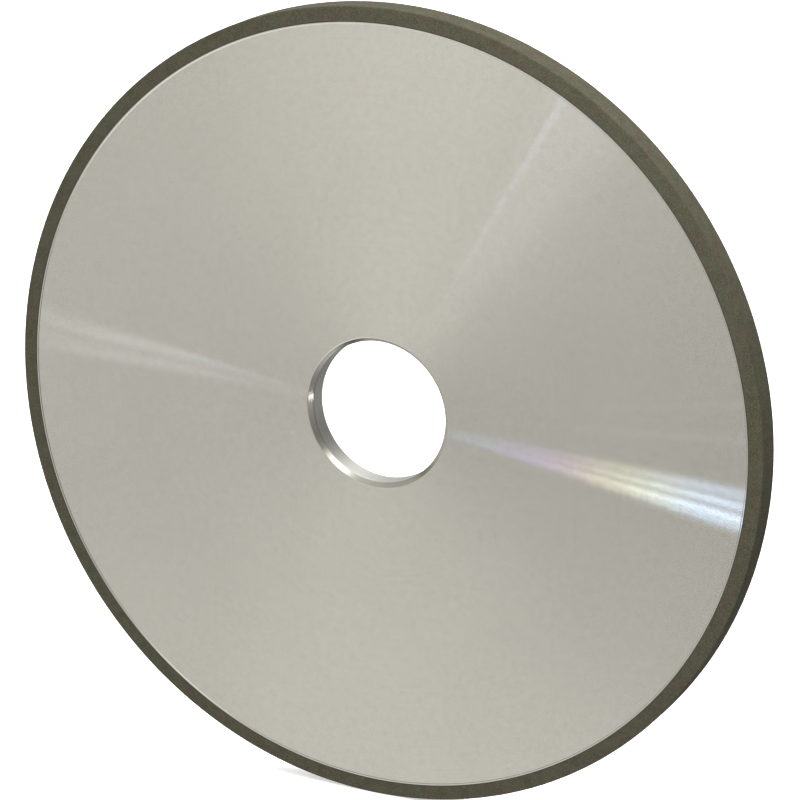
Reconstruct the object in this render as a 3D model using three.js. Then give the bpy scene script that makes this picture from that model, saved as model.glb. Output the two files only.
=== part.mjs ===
// A straight (type 1A1) diamond grinding wheel, for lapidary and tool grinding: a turned aluminium core
// with a resin-bonded diamond rim around it.
//
// Frame: millimetres, +Z up. The wheel turns about the Y axis, its centre is the origin, and its front
// face looks along -Y. The wheel is the same on both faces.
//
// Three solids make the wheel. The core is a flat disc with a chamfered arbor bore, and two shallow key
// grooves around its edge. The bond line is the thin film of resin that coats that grooved edge. The rim
// is the diamond layer, pressed on over the film, and its inner wall fills the grooves, so it can't creep
// sideways or lift off at speed.

import * as THREE from "three";

// Driving dimensions, a 7 x 1/4 x 1 1/4 inch wheel with a diamond layer 1/8 inch deep.
const WHEEL_DIAMETER = 177.8;
const RIM_WIDTH = 6.35;
const BORE_DIAMETER = 31.75;
const ABRASIVE_DEPTH = 3.175;
const BOND_LINE = 0.25;

// The core's faces are turned a little below the rim, up to a narrow lip beside it.
const FACE_RELIEF = 0.12;
const LIP_WIDTH = 0.25;
const LIP_SLOPE = 0.15;
const BORE_CHAMFER = 1.0;

// The key grooves in the core's edge.
const KEY_GROOVES = 2;
const KEY_PITCH = 2.6;
const KEY_MOUTH = 1.3;
const KEY_FLOOR = 0.7;
const KEY_DEPTH = 0.8;

// The rim's two outer corners are trued to a small bevel.
const RIM_BEVEL = 0.2;

// Facets around each ring. A multiple of 4 keeps the full diameter along X and Z.
const SEGMENTS = 120;

const wheelRadius = WHEEL_DIAMETER / 2;
const rimHalfWidth = RIM_WIDTH / 2;
const boreRadius = BORE_DIAMETER / 2;
const rimInnerRadius = wheelRadius - ABRASIVE_DEPTH;
const coreRadius = rimInnerRadius - BOND_LINE;
const faceHalfWidth = rimHalfWidth - FACE_RELIEF;

// A ring from its closed section, given as [radius, y] corners that run anticlockwise.
function ring(section) {
  const corners = [...section, section[0]];
  return new THREE.LatheGeometry(
    corners.map(([radius, y]) => new THREE.Vector2(radius, y)),
    SEGMENTS,
  );
}

// The other half of a section that is the same on both sides of the wheel's mid-plane.
function mirrored(corners) {
  return corners.map(([radius, y]) => [radius, -y]).reverse();
}

// The keyed seat between core, film and rim: a wall at one radius with the grooves sunk into it, from
// the -Y side to the +Y side.
function keyedSeat(radius) {
  const grooves = [];
  for (let groove = 0; groove < KEY_GROOVES; groove++) {
    const centre = (groove - (KEY_GROOVES - 1) / 2) * KEY_PITCH;
    grooves.push(
      [radius, centre - KEY_MOUTH / 2],
      [radius - KEY_DEPTH, centre - KEY_FLOOR / 2],
      [radius - KEY_DEPTH, centre + KEY_FLOOR / 2],
      [radius, centre + KEY_MOUTH / 2],
    );
  }
  return [[radius, -rimHalfWidth], ...grooves, [radius, rimHalfWidth]];
}

// Half of the core's section, from the lip beside the rim in to the bore, on the +Y side.
function coreFace() {
  const lipRadius = coreRadius - LIP_WIDTH;
  return [
    [lipRadius, rimHalfWidth],
    [lipRadius - LIP_SLOPE, faceHalfWidth],
    [boreRadius + BORE_CHAMFER, faceHalfWidth],
    [boreRadius, faceHalfWidth - BORE_CHAMFER],
  ];
}

// Half of the rim's outer wall, on the +Y side.
function rimCorner() {
  return [
    [wheelRadius, rimHalfWidth - RIM_BEVEL],
    [wheelRadius - RIM_BEVEL, rimHalfWidth],
  ];
}

const coreSection = [...keyedSeat(coreRadius), ...coreFace(), ...mirrored(coreFace())];
const bondSection = [...keyedSeat(rimInnerRadius), ...keyedSeat(coreRadius).reverse()];
const rimSection = [
  ...mirrored(rimCorner()),
  ...rimCorner(),
  ...keyedSeat(rimInnerRadius).reverse(),
];

const turnedAluminium = new THREE.MeshStandardMaterial({ color: 0xbdbab1, roughness: 0.35, metalness: 1 });
const bondResin = new THREE.MeshStandardMaterial({ color: 0x3f3a2c, roughness: 0.6, metalness: 0 });
const diamondLayer = new THREE.MeshStandardMaterial({ color: 0x5c5847, roughness: 0.85, metalness: 0 });

function piece(name, section, material) {
  const mesh = new THREE.Mesh(ring(section), material);
  mesh.name = name;
  return mesh;
}

const wheel = new THREE.Group();
wheel.add(
  piece("core_disc", coreSection, turnedAluminium),
  piece("bond_line", bondSection, bondResin),
  piece("diamond_rim", rimSection, diamondLayer),
);

export default wheel;
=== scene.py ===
"""The looks of a straight diamond grinding wheel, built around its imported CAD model.

Metres, +Z up. The wheel turns about Y, its centre is the origin and its front face looks along -Y.
"""

import math

import bpy
import numpy as np
from mathutils import Matrix, Vector, noise


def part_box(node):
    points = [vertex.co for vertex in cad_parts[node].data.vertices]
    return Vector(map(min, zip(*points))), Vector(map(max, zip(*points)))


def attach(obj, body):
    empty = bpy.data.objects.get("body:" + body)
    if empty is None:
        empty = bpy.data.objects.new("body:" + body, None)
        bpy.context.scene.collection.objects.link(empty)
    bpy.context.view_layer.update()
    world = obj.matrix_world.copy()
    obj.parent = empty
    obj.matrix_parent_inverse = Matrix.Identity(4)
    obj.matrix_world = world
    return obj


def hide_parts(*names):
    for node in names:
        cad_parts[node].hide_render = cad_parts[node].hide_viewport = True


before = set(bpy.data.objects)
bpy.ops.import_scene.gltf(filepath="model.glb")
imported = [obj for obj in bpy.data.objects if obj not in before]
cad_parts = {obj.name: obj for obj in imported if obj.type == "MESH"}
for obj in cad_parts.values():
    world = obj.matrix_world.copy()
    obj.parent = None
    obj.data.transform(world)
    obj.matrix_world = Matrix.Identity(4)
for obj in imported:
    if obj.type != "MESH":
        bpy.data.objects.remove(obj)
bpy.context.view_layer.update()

MM = 0.001
FULL_TURN = 2 * math.pi

# Sizes that the CAD nodes hold.
rim_low, rim_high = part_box("diamond_rim")
core_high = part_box("core_disc")[1]
WHEEL_RADIUS = rim_high.x
RIM_HALF_WIDTH = rim_high.y
CORE_RADIUS = core_high.x

# Sizes that a node's box doesn't show, the same as in the CAD source.
BORE_RADIUS = 15.875 * MM
BOND_LINE = 0.25 * MM
FACE_RELIEF = 0.12 * MM
LIP_WIDTH = 0.25 * MM
LIP_SLOPE = 0.15 * MM
BORE_CHAMFER = 1.0 * MM
KEY_GROOVES = 2
KEY_PITCH = 2.6 * MM
KEY_MOUTH = 1.3 * MM
KEY_FLOOR = 0.7 * MM
KEY_DEPTH = 0.8 * MM
RIM_BEVEL = 0.2 * MM

RIM_INNER_RADIUS = CORE_RADIUS + BOND_LINE
FACE_HALF_WIDTH = RIM_HALF_WIDTH - FACE_RELIEF

# Small rounds that only the looks need: at the lip, at the bore and beside the bond line.
LIP_BREAK = 0.025 * MM
BORE_BREAK = 0.14 * MM
SEAT_BREAK = 0.015 * MM
# The worn outer corners of the rim, which just touch the middle of the CAD bevel.
RIM_ROUND = 2 * RIM_BEVEL
# How far the film of resin stands back from both faces.
FILM_SINK = 0.01 * MM

# A round takes at most this share of the shorter edge beside it.
ROUND_SHARE = 0.4
# A flat strip beside each round keeps its shading off the faces: its width as a share of the round,
# and at most this share of the shorter edge.
SUPPORT_WIDTH = 0.3
SUPPORT_SHARE = 0.08

# How finely the rings are cut up, and the steps in each round.
CORE_SIDES = 720
RIM_SIDES = 1440
CORE_ROUND_STEPS = 6
RIM_ROUND_STEPS = 4
RIM_PITCH = 0.36 * MM
# Below this angle an edge is shaded smooth.
CORE_SHARP_DEGREES = 40
RIM_SHARP_DEGREES = 60

# The rim's surface, sunk by single grains and by wider patches.
ROUGH_DEPTH = 0.035 * MM
ROUGH_GRAIN = 0.42 * MM
ROUGH_PATCH = 1.6 * MM
ROUGH_GRAIN_SHARE = 0.65
# Beside the bond line, and on the wall inside it, the rim isn't roughened.
ROUGH_MARGIN = 0.03 * MM
WALL_MARGIN = 0.06 * MM


# ---------------------------------------------------------------------------------------------
# Meshes
# ---------------------------------------------------------------------------------------------

def lathe(name, outline, segments):
    """A ring about Y from its closed outline of (radius, y) points, which run anticlockwise."""
    outline = np.array(outline)
    angles = np.arange(segments) * FULL_TURN / segments
    rings = len(outline)
    points = np.empty((segments, rings, 3))
    points[..., 0] = np.cos(angles)[:, None] * outline[:, 0]
    points[..., 1] = outline[:, 1]
    points[..., 2] = np.sin(angles)[:, None] * outline[:, 0]
    here = np.arange(segments)[:, None] * rings
    there = (np.arange(segments)[:, None] + 1) % segments * rings
    along = np.arange(rings)
    after = (along + 1) % rings
    quads = np.stack([here + along, here + after, there + after, there + along], axis=-1)
    mesh = bpy.data.meshes.new(name)
    mesh.from_pydata(points.reshape(-1, 3).tolist(), [], quads.reshape(-1, 4).tolist())
    mesh.update()
    piece = bpy.data.objects.new(name, mesh)
    bpy.context.scene.collection.objects.link(piece)
    return piece


def rounded(corners, steps=1):
    """A closed outline from (radius, y, rounding) corners. A corner with no rounding stays sharp."""
    made = []
    count = len(corners)
    for i, (radius, y, rounding) in enumerate(corners):
        corner = np.array((radius, y))
        if rounding == 0:
            made.append(corner)
            continue
        before = np.array(corners[i - 1][:2]) - corner
        after = np.array(corners[(i + 1) % count][:2]) - corner
        room = min(np.linalg.norm(before), np.linalg.norm(after))
        before /= np.linalg.norm(before)
        after /= np.linalg.norm(after)
        cut = min(rounding, room * ROUND_SHARE)
        support = min(rounding * SUPPORT_WIDTH, room * SUPPORT_SHARE)
        made.append(corner + before * (cut + support))
        for step in range(steps + 1):
            t = step / steps
            made.append(corner + before * cut * (1 - t) ** 2 + after * cut * t ** 2)
        made.append(corner + after * (cut + support))
    return made


def divided(outline, pitch):
    """A closed outline with its long stretches cut into steps no longer than pitch, seat walls apart."""
    made = []
    for i, start in enumerate(outline):
        end = outline[(i + 1) % len(outline)]
        on_seat = max(start[0], end[0]) <= RIM_INNER_RADIUS + BOND_LINE / 2
        steps = 1 if on_seat else math.ceil(np.linalg.norm(end - start) / pitch)
        for step in range(steps):
            made.append(start + (end - start) * step / steps)
    return made


def mirrored(corners):
    """The other half of a section that is the same on both sides of the wheel's mid-plane."""
    return [(radius, -y, rounding) for radius, y, rounding in reversed(corners)]


def keyed_seat(radius, half_width, rounding):
    """A wall at one radius with the key grooves sunk into it, from the -Y side to the +Y side."""
    corners = [(radius, -half_width, rounding)]
    for groove in range(KEY_GROOVES):
        centre = (groove - (KEY_GROOVES - 1) / 2) * KEY_PITCH
        corners += [
            (radius, centre - KEY_MOUTH / 2, 0),
            (radius - KEY_DEPTH, centre - KEY_FLOOR / 2, 0),
            (radius - KEY_DEPTH, centre + KEY_FLOOR / 2, 0),
            (radius, centre + KEY_MOUTH / 2, 0),
        ]
    return corners + [(radius, half_width, rounding)]


def smooth(piece, sharp_degrees):
    piece.data.shade_smooth()
    piece.data.set_sharp_from_angle(angle=math.radians(sharp_degrees))


def make_core():
    """The turned disc: keyed edge, narrow lips, flat faces, chamfered bore."""
    lip = CORE_RADIUS - LIP_WIDTH
    face = [
        (lip, RIM_HALF_WIDTH, LIP_BREAK),
        (lip - LIP_SLOPE, FACE_HALF_WIDTH, LIP_BREAK),
        (BORE_RADIUS + BORE_CHAMFER, FACE_HALF_WIDTH, BORE_BREAK),
        (BORE_RADIUS, FACE_HALF_WIDTH - BORE_CHAMFER, BORE_BREAK),
    ]
    seat = keyed_seat(CORE_RADIUS, RIM_HALF_WIDTH, SEAT_BREAK)
    core = lathe("turned_core", rounded(seat + face + mirrored(face), CORE_ROUND_STEPS), CORE_SIDES)
    smooth(core, CORE_SHARP_DEGREES)
    return core


def make_bond_line():
    """The film of resin, shrunk back a hair at both faces."""
    half_width = RIM_HALF_WIDTH - FILM_SINK
    outer = keyed_seat(RIM_INNER_RADIUS, half_width, 0)
    inner = keyed_seat(CORE_RADIUS, half_width, 0)
    film = lathe("bond_film", rounded(outer + inner[::-1]), CORE_SIDES)
    smooth(film, CORE_SHARP_DEGREES)
    return film


def make_rim():
    """The diamond layer, with its surface broken up by the grain."""
    corner = [(WHEEL_RADIUS, RIM_HALF_WIDTH, RIM_ROUND)]
    seat = keyed_seat(RIM_INNER_RADIUS, RIM_HALF_WIDTH, SEAT_BREAK)
    shell = rounded(mirrored(corner) + corner + seat[::-1], RIM_ROUND_STEPS)
    rim = lathe("diamond_layer_rim", divided(shell, RIM_PITCH), RIM_SIDES)
    roughen(rim)
    smooth(rim, RIM_SHARP_DEGREES)
    return rim


def roughen(rim):
    """Sinks the outside of the rim by up to ROUGH_DEPTH, in grains and shallow pull-outs."""
    mesh = rim.data
    count = len(mesh.vertices)
    places = np.empty(count * 3)
    mesh.vertices.foreach_get("co", places)
    places = places.reshape(-1, 3)
    normals = np.empty(count * 3)
    mesh.vertex_normals.foreach_get("vector", normals)
    normals = normals.reshape(-1, 3)
    radii = np.hypot(places[:, 0], places[:, 2])
    near_wall = radii < RIM_INNER_RADIUS + WALL_MARGIN
    between_faces = np.abs(places[:, 1]) < RIM_HALF_WIDTH - WALL_MARGIN
    clear_of_film = radii > RIM_INNER_RADIUS + ROUGH_MARGIN
    sink = np.zeros(count)
    for i in np.flatnonzero(clear_of_film & ~(near_wall & between_faces)):
        place = Vector(places[i])
        grain = 0.5 + 0.5 * noise.noise(place / ROUGH_GRAIN)
        patch = 0.5 + 0.5 * noise.noise(place / ROUGH_PATCH)
        sink[i] = ROUGH_DEPTH * (ROUGH_GRAIN_SHARE * grain + (1 - ROUGH_GRAIN_SHARE) * patch)
    places -= normals * sink[:, None]
    mesh.vertices.foreach_set("co", places.ravel())
    mesh.update()


# ---------------------------------------------------------------------------------------------
# Materials
# ---------------------------------------------------------------------------------------------

# The turned metal: its face from dark to light, a faint cast laid over that, the polished slope up
# to the lip, and the bore wall darkened with painted shade.
FACE_DARK = (0.490, 0.471, 0.417, 1)
FACE_LIGHT = (0.545, 0.525, 0.465, 1)
FACE_PINK = (1.006, 0.994, 1.0, 1)
FACE_GREEN = (0.994, 1.006, 0.996, 1)
LIP_METAL = (0.52, 0.505, 0.455, 1)
# Painted shade: the bore wall's metal is darker than the face's, standing in for the shade inside the
# hole.
BORE_PAINTED_SHADE = (0.33, 0.325, 0.295, 1)

# A feed mark, and where in it the land and the burnished flank end. Finer ripples cross all its parts.
MARK_PITCH = 0.045 * MM
LAND_ENDS = 0.28
FLANK_ENDS = 0.52
RIPPLE_PITCH = 0.0113 * MM
# How far the burnished flank of a feed mark leans outwards from the wheel's axis.
FLANK_SLOPE = 0.17
# How far the slope swings about that within a ripple, and from ring to ring.
LAND_SWING = 0.007
FLANK_SWING = 0.04
TORN_SWING = 0.40
RING_SWING = 0.02
# Roughness of the marks' smooth parts on the face and in the bore, of their torn parts, and of the
# polished slope. The bore's finish gives way to the face's over FINISH_CHANGE.
FACE_ROUGHNESS = 0.02
BORE_ROUGHNESS = 0.18
TORN_ROUGHNESS = (0.33, 0.39)
LIP_ROUGHNESS = 0.12
FINISH_CHANGE = 0.08 * MM
# Sizes of the metal's uneven shading, and what share each has in it.
RING_WIDTH = 0.6 * MM
STAIN_SIZE = 35 * MM
MOTTLE_SIZE = 1.6 * MM
TINT_SIZE = 3.2 * MM
RING_SHARE = 0.4
STAIN_SHARE = 0.35
MOTTLE_SHARE = 0.25

# The film of resin, from dark to light.
FILM_DARK = (0.020, 0.017, 0.011, 1)
FILM_LIGHT = (0.050, 0.043, 0.030, 1)
FILM_MOTTLE = 0.5 * MM

# The diamond layer: its resin, its grains, and a reddish or greenish cast laid over both.
RESIN_DARK = (0.072, 0.066, 0.047, 1)
RESIN_LIGHT = (0.085, 0.082, 0.057, 1)
GRAIN_BROWN = (0.115, 0.102, 0.072, 1)
GRAIN_GREEN = (0.125, 0.130, 0.097, 1)
CAST_RED = (1.06, 0.96, 0.95, 1)
CAST_GREEN = (0.95, 1.03, 0.95, 1)
GRAIN_SIZE = 0.22 * MM
GRAIN_HEIGHT = 0.03 * MM
GRAIN_ROUGHNESS = (0.5, 0.85)
GRAIN_GLOSS = 0.035
PATCH_SIZE = 2.4 * MM
CAST_SIZE = 3.4 * MM
# The share of the grains that the resin hides.
HIDDEN_GRAINS = 0.45


class Nodes:
    """A material's node tree, with short calls for the nodes used here."""

    def __init__(self, name):
        self.material = bpy.data.materials.new(name)
        self.material.use_nodes = True
        self.tree = self.material.node_tree
        self.surface = self.tree.nodes["Principled BSDF"]

    def node(self, kind, **settings):
        made = self.tree.nodes.new("ShaderNode" + kind)
        for name, value in settings.items():
            setattr(made, name, value)
        return made

    def put(self, socket, value):
        """Links value to the socket if it is an output, and sets it if it is a number or a vector."""
        if isinstance(value, bpy.types.NodeSocket):
            self.tree.links.new(value, socket)
        else:
            socket.default_value = value

    def maths(self, operation, a, b=0.0, c=0.0):
        made = self.node("Math", operation=operation)
        for socket, value in zip(made.inputs, (a, b, c)):
            self.put(socket, value)
        return made.outputs[0]

    def vector(self, operation, a, b=None):
        made = self.node("VectorMath", operation=operation)
        self.put(made.inputs[0], a)
        if b is not None:
            self.put(made.inputs[1], b)
        return made.outputs["Value" if operation == "LENGTH" else "Vector"]

    def scaled(self, a, factor):
        made = self.node("VectorMath", operation="SCALE")
        self.put(made.inputs[0], a)
        self.put(made.inputs["Scale"], factor)
        return made.outputs["Vector"]

    def parts(self, vector):
        made = self.node("SeparateXYZ")
        self.put(made.inputs[0], vector)
        return made.outputs

    def joined(self, x, y, z):
        made = self.node("CombineXYZ")
        for socket, value in zip(made.inputs, (x, y, z)):
            self.put(socket, value)
        return made.outputs[0]

    def span(self, value, low, high, to_low=0.0, to_high=1.0):
        """value, from low..high to to_low..to_high, and held at the ends."""
        made = self.node("MapRange")
        for socket, number in zip(made.inputs, (value, low, high, to_low, to_high)):
            self.put(socket, number)
        return made.outputs[0]

    def blend(self, share, a, b, blend_type="MIX"):
        made = self.node("Mix", data_type="RGBA", blend_type=blend_type)
        self.put(made.inputs["Factor"], share)
        self.put(made.inputs[6], a)
        self.put(made.inputs[7], b)
        return made.outputs[2]

    def cloud(self, place, size, detail=2.0, roughness=0.5):
        """Soft noise, 0 to 1, with features of that size."""
        made = self.node("TexNoise")
        self.put(made.inputs["Vector"], place)
        made.inputs["Scale"].default_value = 1 / size
        made.inputs["Detail"].default_value = detail
        made.inputs["Roughness"].default_value = roughness
        return made.outputs[0]

    def cells(self, place, size):
        """Voronoi cells of that size."""
        made = self.node("TexVoronoi", feature="F1")
        self.put(made.inputs["Vector"], place)
        made.inputs["Scale"].default_value = 1 / size
        return made.outputs


def feed_marks(n, run, rings):
    """How far the marks tilt the surface, and a function that picks a value by the part of a mark."""
    part = n.maths("FRACT", n.maths("DIVIDE", run, MARK_PITCH))
    within = n.maths("SUBTRACT", n.maths("FRACT", n.maths("DIVIDE", run, RIPPLE_PITCH)), 0.5)
    is_land = n.maths("LESS_THAN", part, LAND_ENDS)
    is_marked = n.maths("LESS_THAN", part, FLANK_ENDS)
    is_flank = n.maths("SUBTRACT", is_marked, is_land)
    is_torn = n.maths("SUBTRACT", 1.0, is_marked)

    def by_part(land, flank, torn):
        return n.maths("ADD", n.maths("MULTIPLY", land, is_land),
                       n.maths("ADD", n.maths("MULTIPLY", flank, is_flank),
                               n.maths("MULTIPLY", torn, is_torn)))

    lean = n.maths("MULTIPLY", n.maths("SUBTRACT", rings, 0.5), RING_SWING)
    tilt = n.maths("ADD", by_part(
        n.maths("MULTIPLY", within, LAND_SWING),
        n.maths("MULTIPLY_ADD", within, FLANK_SWING, FLANK_SLOPE),
        n.maths("MULTIPLY", within, TORN_SWING),
    ), lean)
    return tilt, by_part


def metal_colour_and_bore_shade(n, place, radius, rings, polished):
    """An uneven face, a brighter slope up to the lip, and painted shade that darkens the bore wall."""
    stain = n.cloud(place, STAIN_SIZE, 3.0)
    mottle = n.span(n.cloud(place, MOTTLE_SIZE, 3.0, 0.6), 0.3, 0.7)
    shade = n.maths("MULTIPLY_ADD", rings, RING_SHARE, n.maths(
        "MULTIPLY_ADD", stain, STAIN_SHARE, n.maths("MULTIPLY", mottle, MOTTLE_SHARE)))
    tint = n.span(n.cloud(place, TINT_SIZE, 3.0, 0.6), 0.3, 0.7)
    face = n.blend(n.span(shade, 0.3, 0.7), FACE_DARK, FACE_LIGHT)
    face = n.blend(1.0, face, n.blend(tint, FACE_PINK, FACE_GREEN), "MULTIPLY")
    face = n.blend(polished, face, LIP_METAL)
    # Painted shade: the wall of the hole gets the darker metal, standing in for the shade that falls
    # there.
    bore_shade_share = n.span(radius, BORE_RADIUS, BORE_RADIUS + BORE_BREAK, 1.0, 0.0)
    return n.blend(bore_shade_share, face, BORE_PAINTED_SHADE)


def turned_aluminium():
    """Faced and bored on a lathe: fine feed marks that run round the axis.

    The feed marks are far too fine to model. Each one is a bright land, a burnished flank and a torn,
    duller flank, which tilt the surface across the marks and never along them.
    """
    n = Nodes("turned_aluminium_metal")
    geometry = n.node("NewGeometry")
    place, normal = geometry.outputs["Position"], geometry.outputs["Normal"]
    x, y, z = n.parts(place)
    radius = n.vector("LENGTH", n.joined(x, 0.0, z))
    around = n.vector("NORMALIZE", n.joined(z, 0.0, n.maths("MULTIPLY", x, -1.0)))
    across = n.vector("CROSS_PRODUCT", normal, around)
    # Runs across the marks: with the radius on a face, and with y on the bore wall.
    run = n.maths("ADD", radius, y)
    # Rings a few tenths of a millimetre wide where the tool cut a little harder or softer.
    ring_place = n.joined(n.maths("DIVIDE", run, RING_WIDTH), 0.0, 0.0)
    rings = n.cloud(ring_place, 1.0, 4.0, 0.6)
    tilt, by_part = feed_marks(n, run, rings)

    # The slope up to the lip is cut last, by a polished form tool that leaves no marks.
    lip = CORE_RADIUS - LIP_WIDTH
    past_face = n.span(radius, lip - LIP_SLOPE, lip - LIP_SLOPE + LIP_BREAK)
    polished = n.maths("MULTIPLY", past_face, n.span(radius, lip - LIP_BREAK, lip, 1.0, 0.0))
    slope = n.span(polished, 0.0, 1.0, tilt, 0.0)
    n.put(n.surface.inputs["Normal"],
          n.vector("NORMALIZE", n.vector("ADD", normal, n.scaled(across, slope))))

    # The bore and its chamfers are cut with a coarser tool.
    chamfer_end = BORE_RADIUS + BORE_CHAMFER
    smoothest = n.span(radius, chamfer_end, chamfer_end + FINISH_CHANGE, BORE_ROUGHNESS, FACE_ROUGHNESS)
    roughness = by_part(smoothest, smoothest, n.span(rings, 0.3, 0.7, *TORN_ROUGHNESS))
    n.put(n.surface.inputs["Roughness"], n.span(polished, 0.0, 1.0, roughness, LIP_ROUGHNESS))
    n.put(n.surface.inputs["Base Color"], metal_colour_and_bore_shade(n, place, radius, rings, polished))
    n.surface.inputs["Metallic"].default_value = 1.0
    return n.material


def bond_resin():
    """Cured resin, dark and matte, with a faint mottle."""
    n = Nodes("bond_resin_film")
    place = n.node("NewGeometry").outputs["Position"]
    mottle = n.cloud(place, FILM_MOTTLE, 3.0)
    n.put(n.surface.inputs["Base Color"], n.blend(mottle, FILM_DARK, FILM_LIGHT))
    n.put(n.surface.inputs["Roughness"], n.span(mottle, 0.3, 0.7, 0.45, 0.65))
    return n.material


def diamond_grit():
    """Diamond grains in brown resin: speckled, olive grey and matte."""
    n = Nodes("diamond_grit_in_resin")
    place = n.node("NewGeometry").outputs["Position"]
    grains = n.cells(place, GRAIN_SIZE)
    # Three random numbers for each grain: whether it shows, its colour and its roughness.
    chances = n.node("SeparateColor")
    n.put(chances.inputs[0], grains["Color"])
    on_grain = n.maths("SUBTRACT", 1.0, n.span(grains["Distance"], 0.25, 0.6))
    patch = n.cloud(place, PATCH_SIZE, 3.0)
    # This noise is taken elsewhere, so that it doesn't follow the patches.
    elsewhere = n.vector("ADD", place, (0.5, 0.0, 0.0))
    hue = n.cloud(elsewhere, CAST_SIZE, 3.0, 0.6)
    resin = n.blend(n.span(patch, 0.35, 0.65), RESIN_DARK, RESIN_LIGHT)
    grain = n.blend(chances.outputs[1], GRAIN_BROWN, GRAIN_GREEN)
    shown = n.maths("GREATER_THAN", chances.outputs[0], HIDDEN_GRAINS)
    colour = n.blend(n.maths("MULTIPLY", shown, on_grain), resin, grain)
    cast = n.blend(n.span(hue, 0.38, 0.62), CAST_RED, CAST_GREEN)
    n.put(n.surface.inputs["Base Color"], n.blend(1.0, colour, cast, "MULTIPLY"))
    n.put(n.surface.inputs["Roughness"], n.span(chances.outputs[2], 0.0, 1.0, *GRAIN_ROUGHNESS))
    n.surface.inputs["Specular IOR Level"].default_value = GRAIN_GLOSS
    bump = n.node("Bump")
    bump.inputs["Distance"].default_value = GRAIN_HEIGHT
    bump.inputs["Strength"].default_value = 1.0
    n.put(bump.inputs["Height"], on_grain)
    n.put(n.surface.inputs["Normal"], bump.outputs[0])
    return n.material


def finish_piece(piece, node, material):
    piece.data.materials.append(material)
    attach(piece, "root")
    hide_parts(node)


# ---------------------------------------------------------------------------------------------
# Camera, floor and light
# ---------------------------------------------------------------------------------------------

# The camera looks across the wheel's centre, with that point a little off the middle of the picture.
AZIMUTH = math.radians(26.16)
ELEVATION = math.radians(17.46)
DISTANCE = 0.8048
ASIDE = 3.64 * MM
ABOVE = 2.04 * MM
LENS = 167.27

BACK = Vector((math.sin(AZIMUTH) * math.cos(ELEVATION), -math.cos(AZIMUTH) * math.cos(ELEVATION),
               math.sin(ELEVATION)))


def make_camera():
    data = bpy.data.cameras.new("camera")
    data.lens = LENS
    data.sensor_width = 36.0
    data.clip_start = 0.01
    data.clip_end = 50.0
    camera = bpy.data.objects.new("camera", data)
    bpy.context.scene.collection.objects.link(camera)
    turn = (-BACK).to_track_quat("-Z", "Y")
    right, up = turn @ Vector((1, 0, 0)), turn @ Vector((0, 1, 0))
    camera.rotation_mode = "QUATERNION"
    camera.rotation_quaternion = turn
    camera.location = BACK * DISTANCE + right * ASIDE + up * ABOVE
    bpy.context.scene.camera = camera
    return camera


def make_floor():
    """A wide pale floor that the wheel stands on, bright enough to blow out but for a faint shadow.

    Only the camera sees it: the light from below is the studio's.
    """
    size = 12.0
    corners = [(-size, -size, 0), (size, -size, 0), (size, size, 0), (-size, size, 0)]
    mesh = bpy.data.meshes.new("floor")
    mesh.from_pydata(corners, [], [(0, 1, 2, 3)])
    floor = bpy.data.objects.new("floor", mesh)
    floor.location.z = rim_low.z
    bpy.context.scene.collection.objects.link(floor)
    n = Nodes("floor_paper")
    n.surface.inputs["Base Color"].default_value = (0.93, 0.93, 0.93, 1)
    n.surface.inputs["Roughness"].default_value = 0.9
    n.surface.inputs["Specular IOR Level"].default_value = 0.0
    n.surface.inputs["Emission Color"].default_value = (1, 1, 1, 1)
    n.surface.inputs["Emission Strength"].default_value = 0.5
    mesh.materials.append(n.material)
    floor.visible_diffuse = floor.visible_glossy = floor.visible_shadow = False
    return floor


def towards(azimuth, elevation, distance):
    """The place at that distance from the wheel's centre. Azimuth 0 is in front, 90 is to the right."""
    a, e = math.radians(azimuth), math.radians(elevation)
    return Vector((math.sin(a) * math.cos(e), -math.cos(a) * math.cos(e), math.sin(e))) * distance


# Soft sources far away: azimuth, elevation, half angle in degrees, and brightness. Azimuth 0 is in
# front of the wheel and 90 to its right. The one with a negative brightness is a black card.
SOFT_SOURCES = [
    (-20, 12, 16, 1.1),
    (-45, -12, 16, 0.2),
    (-26, -17, 20, 0.12),
    (-50, -58, 18, 1.55),
    (8, -58, 18, 1.65),
    (31, 49, 11, 3.9),
    (-90, 0, 60, 0.35),
    (165, 72, 22, 4.9),
    (200, 30, 30, 0.85),
    (145, -16, 18, 0.50),
    (64, -17, 14, 0.30),
    (104, -20, 30, -0.30),
]
AMBIENT = 0.295


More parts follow.
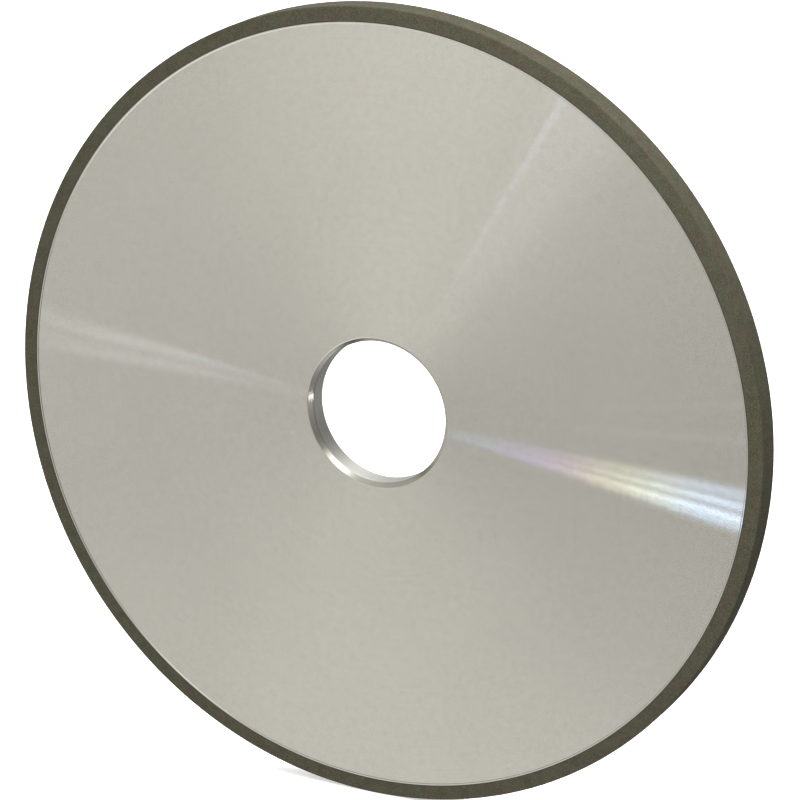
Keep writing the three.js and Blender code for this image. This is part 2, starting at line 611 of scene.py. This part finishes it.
def make_world():
    """A white backdrop for the camera, and soft sources all round for the light."""
    world = bpy.data.worlds.new("studio")
    bpy.context.scene.world = world
    world.use_nodes = True
    tree = world.node_tree
    tree.nodes.clear()

    def node(kind, **settings):
        made = tree.nodes.new("ShaderNode" + kind)
        for name, value in settings.items():
            setattr(made, name, value)
        return made

    direction = node("TexCoord").outputs["Generated"]
    total = None
    for azimuth, elevation, spread, brightness in SOFT_SOURCES:
        facing = node("VectorMath", operation="DOT_PRODUCT")
        tree.links.new(direction, facing.inputs[0])
        facing.inputs[1].default_value = towards(azimuth, elevation, 1.0)
        away = node("Math", operation="SUBTRACT")
        tree.links.new(facing.outputs["Value"], away.inputs[0])
        away.inputs[1].default_value = 1.0
        narrowed = node("Math", operation="MULTIPLY")
        tree.links.new(away.outputs[0], narrowed.inputs[0])
        narrowed.inputs[1].default_value = math.log(2) / (1 - math.cos(math.radians(spread)))
        glow = node("Math", operation="EXPONENT")
        tree.links.new(narrowed.outputs[0], glow.inputs[0])
        added = node("Math", operation="MULTIPLY_ADD")
        tree.links.new(glow.outputs[0], added.inputs[0])
        added.inputs[1].default_value = brightness
        if total is None:
            added.inputs[2].default_value = AMBIENT
        else:
            tree.links.new(total, added.inputs[2])
        total = added.outputs[0]

    lit, seen = node("Background"), node("Background")
    tree.links.new(total, lit.inputs["Strength"])
    mix = node("MixShader")
    tree.links.new(node("LightPath").outputs["Is Camera Ray"], mix.inputs["Fac"])
    tree.links.new(lit.outputs[0], mix.inputs[1])
    tree.links.new(seen.outputs[0], mix.inputs[2])
    tree.links.new(mix.outputs[0], node("OutputWorld").inputs["Surface"])
    for background in (lit, seen):
        background.inputs["Color"].default_value = (1, 1, 1, 1)


def lamp(name, place, width, height, radiance):
    """An oval soft lamp that faces the wheel's centre."""
    data = bpy.data.lights.new(name, "AREA")
    data.shape = "ELLIPSE"
    data.size, data.size_y = width, height
    data.energy = radiance * math.pi * width * height
    light = bpy.data.objects.new(name, data)
    bpy.context.scene.collection.objects.link(light)
    back = place.normalized()
    side = Vector((0, 0, 1)).cross(back).normalized()
    light.location = place
    light.rotation_mode = "QUATERNION"
    light.rotation_quaternion = Matrix((side, back.cross(side), back)).transposed().to_quaternion()
    light.visible_camera = False
    return light


# The colours of the bright ray, from the bore outwards: share of the way to the rim, and colour.
RAINBOW = [
    (0.00, (0.08, 0.15, 0.17)),
    (0.18, (0.13, 0.18, 0.39)),
    (0.33, (0.30, 0.20, 0.52)),
    (0.42, (0.40, 0.27, 0.41)),
    (0.50, (0.57, 0.52, 0.44)),
    (0.60, (0.71, 0.80, 0.61)),
    (0.70, (0.79, 0.97, 1.06)),
    (0.82, (0.72, 1.03, 1.56)),
    (1.10, (0.60, 0.76, 1.20)),
]
# Three plainer ones: brightest half way out, fading towards the bore, and the same but bluer.
PAIR_WHITE = [
    (-0.20, (0.15, 0.15, 0.18)),
    (0.10, (0.24, 0.23, 0.28)),
    (0.19, (0.29, 0.29, 0.39)),
    (0.33, (0.36, 0.60, 0.98)),
    (0.47, (0.93, 1.19, 1.50)),
    (0.60, (1.28, 1.28, 1.37)),
    (0.74, (0.76, 0.80, 0.80)),
    (0.88, (0.44, 0.44, 0.45)),
    (1.50, (0.38, 0.38, 0.38)),
]
FADING_WHITE = [
    (-0.20, (0.00, 0.00, 0.00)),
    (0.02, (0.14, 0.14, 0.15)),
    (0.28, (0.34, 0.34, 0.38)),
    (0.55, (0.60, 0.62, 0.70)),
    (0.82, (0.80, 0.84, 0.98)),
    (1.50, (0.90, 0.95, 1.10)),
]
COLD_WHITE = [
    (-0.20, (0.00, 0.00, 0.00)),
    (0.02, (0.12, 0.13, 0.14)),
    (0.28, (0.28, 0.31, 0.34)),
    (0.47, (0.31, 0.41, 0.60)),
    (0.60, (0.29, 0.42, 0.90)),
    (0.74, (0.32, 0.55, 1.16)),
    (0.88, (0.53, 0.73, 1.40)),
    (1.50, (0.62, 0.82, 1.50)),
]
# The rays: angle round the wheel from +X, width in degrees, slope of the metal that mirrors them,
# brightness and colours.
RAYS = [
    (-6.4, 7.6, 0.0, 0.43, RAINBOW),
    (-6.3, 6.2, 0.0, 0.82, RAINBOW),
    (-8.3, 2.2, 0.0, 1.20, RAINBOW),
    (-7.7, 1.1, 0.0, 2.00, RAINBOW),
    (-5.8, 0.9, 0.0, 2.30, RAINBOW),
    (-4.0, 1.0, 0.0, 0.80, RAINBOW),
    (173.8, 6.4, FLANK_SLOPE, 0.27, PAIR_WHITE),
    (172.1, 1.3, FLANK_SLOPE, 1.02, PAIR_WHITE),
    (175.9, 1.2, FLANK_SLOPE, 0.68, PAIR_WHITE),
    (59.65, 1.1, FLANK_SLOPE, 0.52, COLD_WHITE),
    (57.7, 10.6, FLANK_SLOPE, 0.12, FADING_WHITE),
    (56.3, 11.4, FLANK_SLOPE, 0.12, FADING_WHITE),
    (54.6, 11.6, FLANK_SLOPE, 0.12, FADING_WHITE),
    (53.7, 13.4, FLANK_SLOPE, 0.12, FADING_WHITE),
    (4.0, 1.0, 0.0, 0.25, FADING_WHITE),
    (9.2, 1.2, 0.0, 0.12, FADING_WHITE),
]
# Overlapping strips add up only where they don't touch: each stands this much further off.
STRIP_GAP = 0.01


def make_ray(index, camera, angle, width, slope, brightness, colours):
    """A strip of light where metal of that slope mirrors it to the camera, as a ray along a radius.

    It is as far from the metal as the camera is, which keeps the ray straight. Marks this fine split
    white light as a grating does, so a strip may change colour on its way out.
    """
    points, tints, faces = [], [], []
    for station, (share, colour) in enumerate(colours):
        radius = BORE_RADIUS + (WHEEL_RADIUS - BORE_RADIUS) * share
        for edge in (-0.5, 0.5):
            turn = math.radians(angle + edge * width)
            outward = Vector((math.cos(turn), 0, math.sin(turn)))
            seen = outward * radius - Vector((0, FACE_HALF_WIDTH, 0))
            facet = (outward * slope - Vector((0, 1, 0))).normalized()
            points.append(seen + (seen - camera.location).reflect(facet) * (1 + STRIP_GAP * index))
            tints.append((*colour, 1.0))
        if station:
            last = 2 * station
            faces.append((last - 2, last - 1, last + 1, last))
    mesh = bpy.data.meshes.new(f"ray_strip_{index}")
    mesh.from_pydata(points, [], faces)
    mesh.color_attributes.new("tint", "FLOAT_COLOR", "POINT").data.foreach_set(
        "color", np.array(tints, np.float32).ravel())
    mesh.materials.append(strip_glow(index, brightness))
    strip = bpy.data.objects.new(mesh.name, mesh)
    bpy.context.scene.collection.objects.link(strip)
    strip.visible_camera = strip.visible_diffuse = strip.visible_shadow = False


def strip_glow(index, brightness):
    """A strip that adds its light to what is behind it."""
    material = bpy.data.materials.new(f"strip_glow_{index}")
    material.use_nodes = True
    tree = material.node_tree
    tree.nodes.clear()
    tint = tree.nodes.new("ShaderNodeVertexColor")
    tint.layer_name = "tint"
    glow = tree.nodes.new("ShaderNodeEmission")
    glow.inputs["Strength"].default_value = brightness
    both = tree.nodes.new("ShaderNodeAddShader")
    tree.links.new(tint.outputs["Color"], glow.inputs["Color"])
    tree.links.new(glow.outputs[0], both.inputs[0])
    tree.links.new(tree.nodes.new("ShaderNodeBsdfTransparent").outputs[0], both.inputs[1])
    tree.links.new(both.outputs[0], tree.nodes.new("ShaderNodeOutputMaterial").inputs["Surface"])
    return material


def make_lamps():
    """A small lamp low on the right, and a near one at the upper right that the metal doesn't mirror.

    The near one makes the matte rim paler at the upper right than at the lower left.
    """
    lamp("low_side", towards(64, -24, 1.0), 0.05, 0.06, 11)
    near = lamp("near_rim", Vector((0.120, -0.12, 0.177)), 0.08, 0.08, 10.5)
    near.visible_glossy = False


finish_piece(make_core(), "core_disc", turned_aluminium())
finish_piece(make_bond_line(), "bond_line", bond_resin())
finish_piece(make_rim(), "diamond_rim", diamond_grit())
camera = make_camera()
for index, ray in enumerate(RAYS):
    make_ray(index, camera, *ray)
make_floor()
make_world()
make_lamps()
bpy.context.scene.view_settings.view_transform = "Standard"
